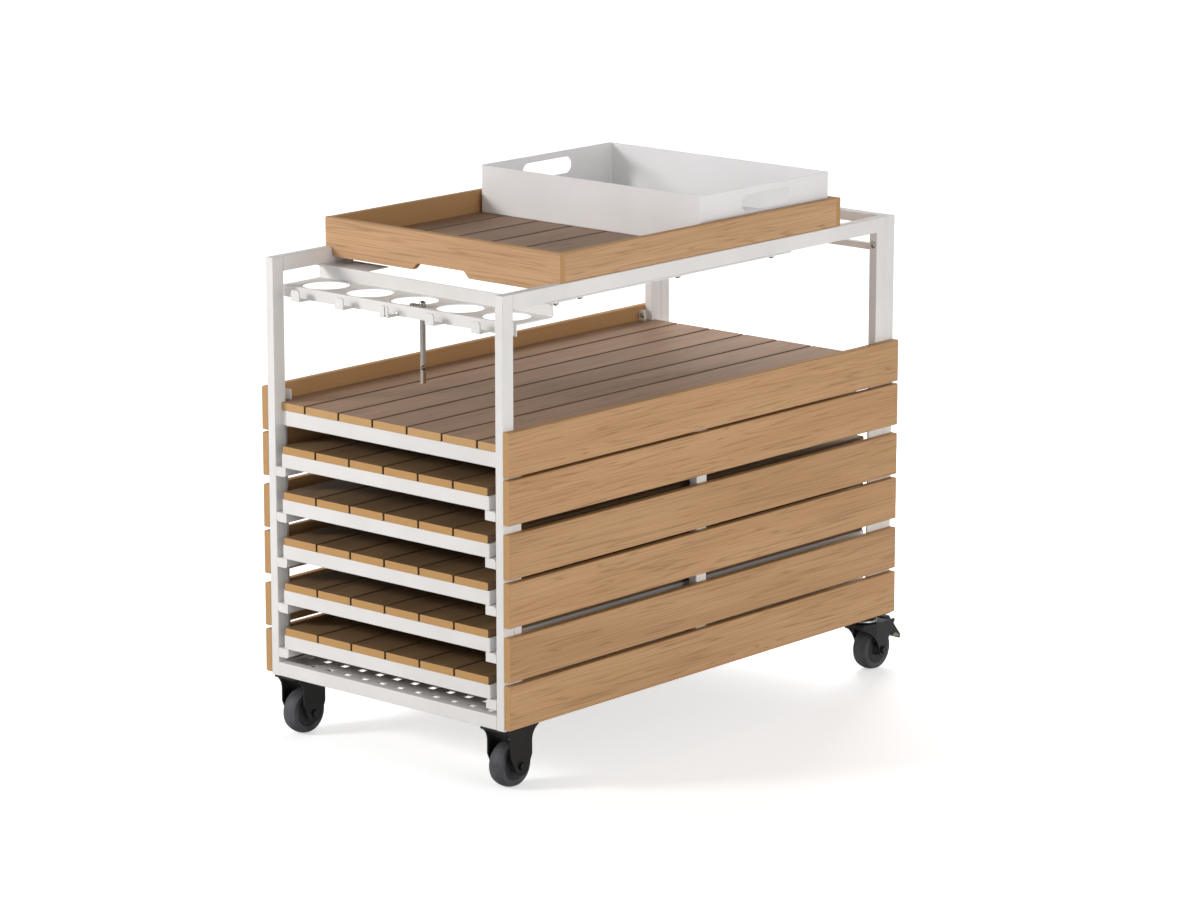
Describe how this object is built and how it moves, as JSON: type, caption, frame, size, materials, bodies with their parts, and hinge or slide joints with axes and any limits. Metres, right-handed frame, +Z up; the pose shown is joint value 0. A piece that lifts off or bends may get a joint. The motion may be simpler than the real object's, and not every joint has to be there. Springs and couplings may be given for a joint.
{
  "type": "bar cart",
  "caption": "Outdoor bar cart: white tube frame with timber cladding, planked deck, pull-out shelves, bottle holder, lift-off trays and casters with swivels and brakes at one end.",
  "frame": {"origin": "floor level under the middle of the bounding box", "axes": "+X along the cart towards its end with swivel casters, +Y across it, +Z up"},
  "size_m": [1.139, 0.5948, 0.9757],
  "materials": {
    "frame_paint": "warm white fine-textured powder coat",
    "sheet_paint": "warm white powder coat on bent sheet",
    "tray_paint": "white powder coat, smooth",
    "side_wood": "oiled light teak tone, long grain",
    "deck_wood": "matt weathered brown planks",
    "shelf_wood": "matt brown planks with pale cut ends",
    "tray_wood": "light teak tone, eased edges",
    "tray_floor_wood": "matt brown planks",
    "opener_chrome": "polished chrome plate",
    "screw_steel": "bright stainless",
    "caster_zinc": "zinc plate",
    "caster_black": "satin black",
    "pedal_black": "satin black",
    "hub_plastic": "moulded black nylon",
    "tyre_rubber": "dark grey rubber"
  },
  "bodies": {
    "cart": {"posts": "frame_paint", "top_rails": "frame_paint", "outer_posts": "frame_paint", "end_bars": "frame_paint", "side_stiles": "frame_paint", "mid_uprights": "frame_paint", "deck_cross_rails": "frame_paint", "deck_side_rails": "frame_paint", "shelf_guides": "frame_paint", "floor_cross_rails": "frame_paint", "floor_side_rails": "frame_paint", "rail_strips": "frame_paint", "side_slats_right": "side_wood", "side_slats_left": "side_wood", "deck_slats": "deck_wood", "floor_sheet": "sheet_paint", "bottle_holder": "sheet_paint", "strip_screws": "screw_steel", "frame_bolts": "screw_steel", "caster_bolts": "caster_zinc", "near_right_fork": "caster_black", "near_right_axle": "caster_black", "near_left_fork": "caster_black", "near_left_axle": "caster_black", "far_right_plate": "caster_black", "far_left_plate": "caster_black"},
    "shelf_1": {"shelf_1_frame": "frame_paint", "shelf_1_slats": "shelf_wood"},
    "shelf_2": {"shelf_2_frame": "frame_paint", "shelf_2_slats": "shelf_wood"},
    "shelf_3": {"shelf_3_frame": "frame_paint", "shelf_3_slats": "shelf_wood"},
    "shelf_4": {"shelf_4_frame": "frame_paint", "shelf_4_slats": "shelf_wood"},
    "shelf_5": {"shelf_5_frame": "frame_paint", "shelf_5_slats": "shelf_wood"},
    "serving_tray": {"tray_ends": "tray_wood", "tray_sides": "tray_wood", "tray_floor": "tray_floor_wood", "tray_battens": "tray_floor_wood"},
    "white_tray": {"metal_tray": "tray_paint"},
    "opener": {"opener_shank": "opener_chrome", "opener_head": "opener_chrome"},
    "near_right_wheel": {"near_right_hub": "hub_plastic", "near_right_tyre": "tyre_rubber"},
    "far_right_swivel": {"far_right_fork": "caster_black", "far_right_race": "caster_zinc", "far_right_axle": "caster_black"},
    "far_right_wheel": {"far_right_hub": "hub_plastic", "far_right_tyre": "tyre_rubber"},
    "far_right_brake": {"far_right_pedal": "pedal_black"},
    "near_left_wheel": {"near_left_hub": "hub_plastic", "near_left_tyre": "tyre_rubber"},
    "far_left_swivel": {"far_left_fork": "caster_black", "far_left_race": "caster_zinc", "far_left_axle": "caster_black"},
    "far_left_wheel": {"far_left_hub": "hub_plastic", "far_left_tyre": "tyre_rubber"},
    "far_left_brake": {"far_left_pedal": "pedal_black"}
  },
  "joints": [
    {"name": "shelf_1_slide", "type": "slide", "parent": "cart", "child": "shelf_1", "axis": [-1, 0, 0], "range_m": [0, 0.45]},
    {"name": "shelf_2_slide", "type": "slide", "parent": "cart", "child": "shelf_2", "axis": [-1, 0, 0], "range_m": [0, 0.45]},
    {"name": "shelf_3_slide", "type": "slide", "parent": "cart", "child": "shelf_3", "axis": [-1, 0, 0], "range_m": [0, 0.45]},
    {"name": "shelf_4_slide", "type": "slide", "parent": "cart", "child": "shelf_4", "axis": [-1, 0, 0], "range_m": [0, 0.45]},
    {"name": "shelf_5_slide", "type": "slide", "parent": "cart", "child": "shelf_5", "axis": [-1, 0, 0], "range_m": [0, 0.45]},
    {"name": "serving_tray_lift", "type": "slide", "parent": "cart", "child": "serving_tray", "axis": [0, 0, 1], "range_m": [0, 0.15]},
    {"name": "white_tray_lift", "type": "slide", "parent": "serving_tray", "child": "white_tray", "axis": [0, 0, 1], "range_m": [0, 0.12]},
    {"name": "opener_lift", "type": "slide", "parent": "cart", "child": "opener", "axis": [0, 0, 1], "range_m": [0, 0.145]},
    {"name": "near_right_wheel_spin", "type": "hinge", "parent": "cart", "child": "near_right_wheel", "pos_m": [-0.522, -0.252, 0.041], "axis": [0, 1, 0], "continuous": true},
    {"name": "far_right_swivel_turn", "type": "hinge", "parent": "cart", "child": "far_right_swivel", "pos_m": [0.4725, -0.252, 0.1], "axis": [0, 0, 1], "continuous": true},
    {"name": "far_right_wheel_spin", "type": "hinge", "parent": "far_right_swivel", "child": "far_right_wheel", "pos_m": [0.4955, -0.252, 0.041], "axis": [0, 1, 0], "continuous": true},
    {"name": "far_right_brake_press", "type": "hinge", "parent": "far_right_swivel", "child": "far_right_brake", "pos_m": [0.5215, -0.252, 0.092], "axis": [0, 1, 0], "range_deg": [0, 10]},
    {"name": "near_left_wheel_spin", "type": "hinge", "parent": "cart", "child": "near_left_wheel", "pos_m": [-0.522, 0.252, 0.041], "axis": [0, 1, 0], "continuous": true},
    {"name": "far_left_swivel_turn", "type": "hinge", "parent": "cart", "child": "far_left_swivel", "pos_m": [0.4725, 0.252, 0.1], "axis": [0, 0, 1], "continuous": true},
    {"name": "far_left_wheel_spin", "type": "hinge", "parent": "far_left_swivel", "child": "far_left_wheel", "pos_m": [0.4955, 0.252, 0.041], "axis": [0, 1, 0], "continuous": true},
    {"name": "far_left_brake_press", "type": "hinge", "parent": "far_left_swivel", "child": "far_left_brake", "pos_m": [0.5215, 0.252, 0.092], "axis": [0, 1, 0], "range_deg": [0, 10]}
  ]
}
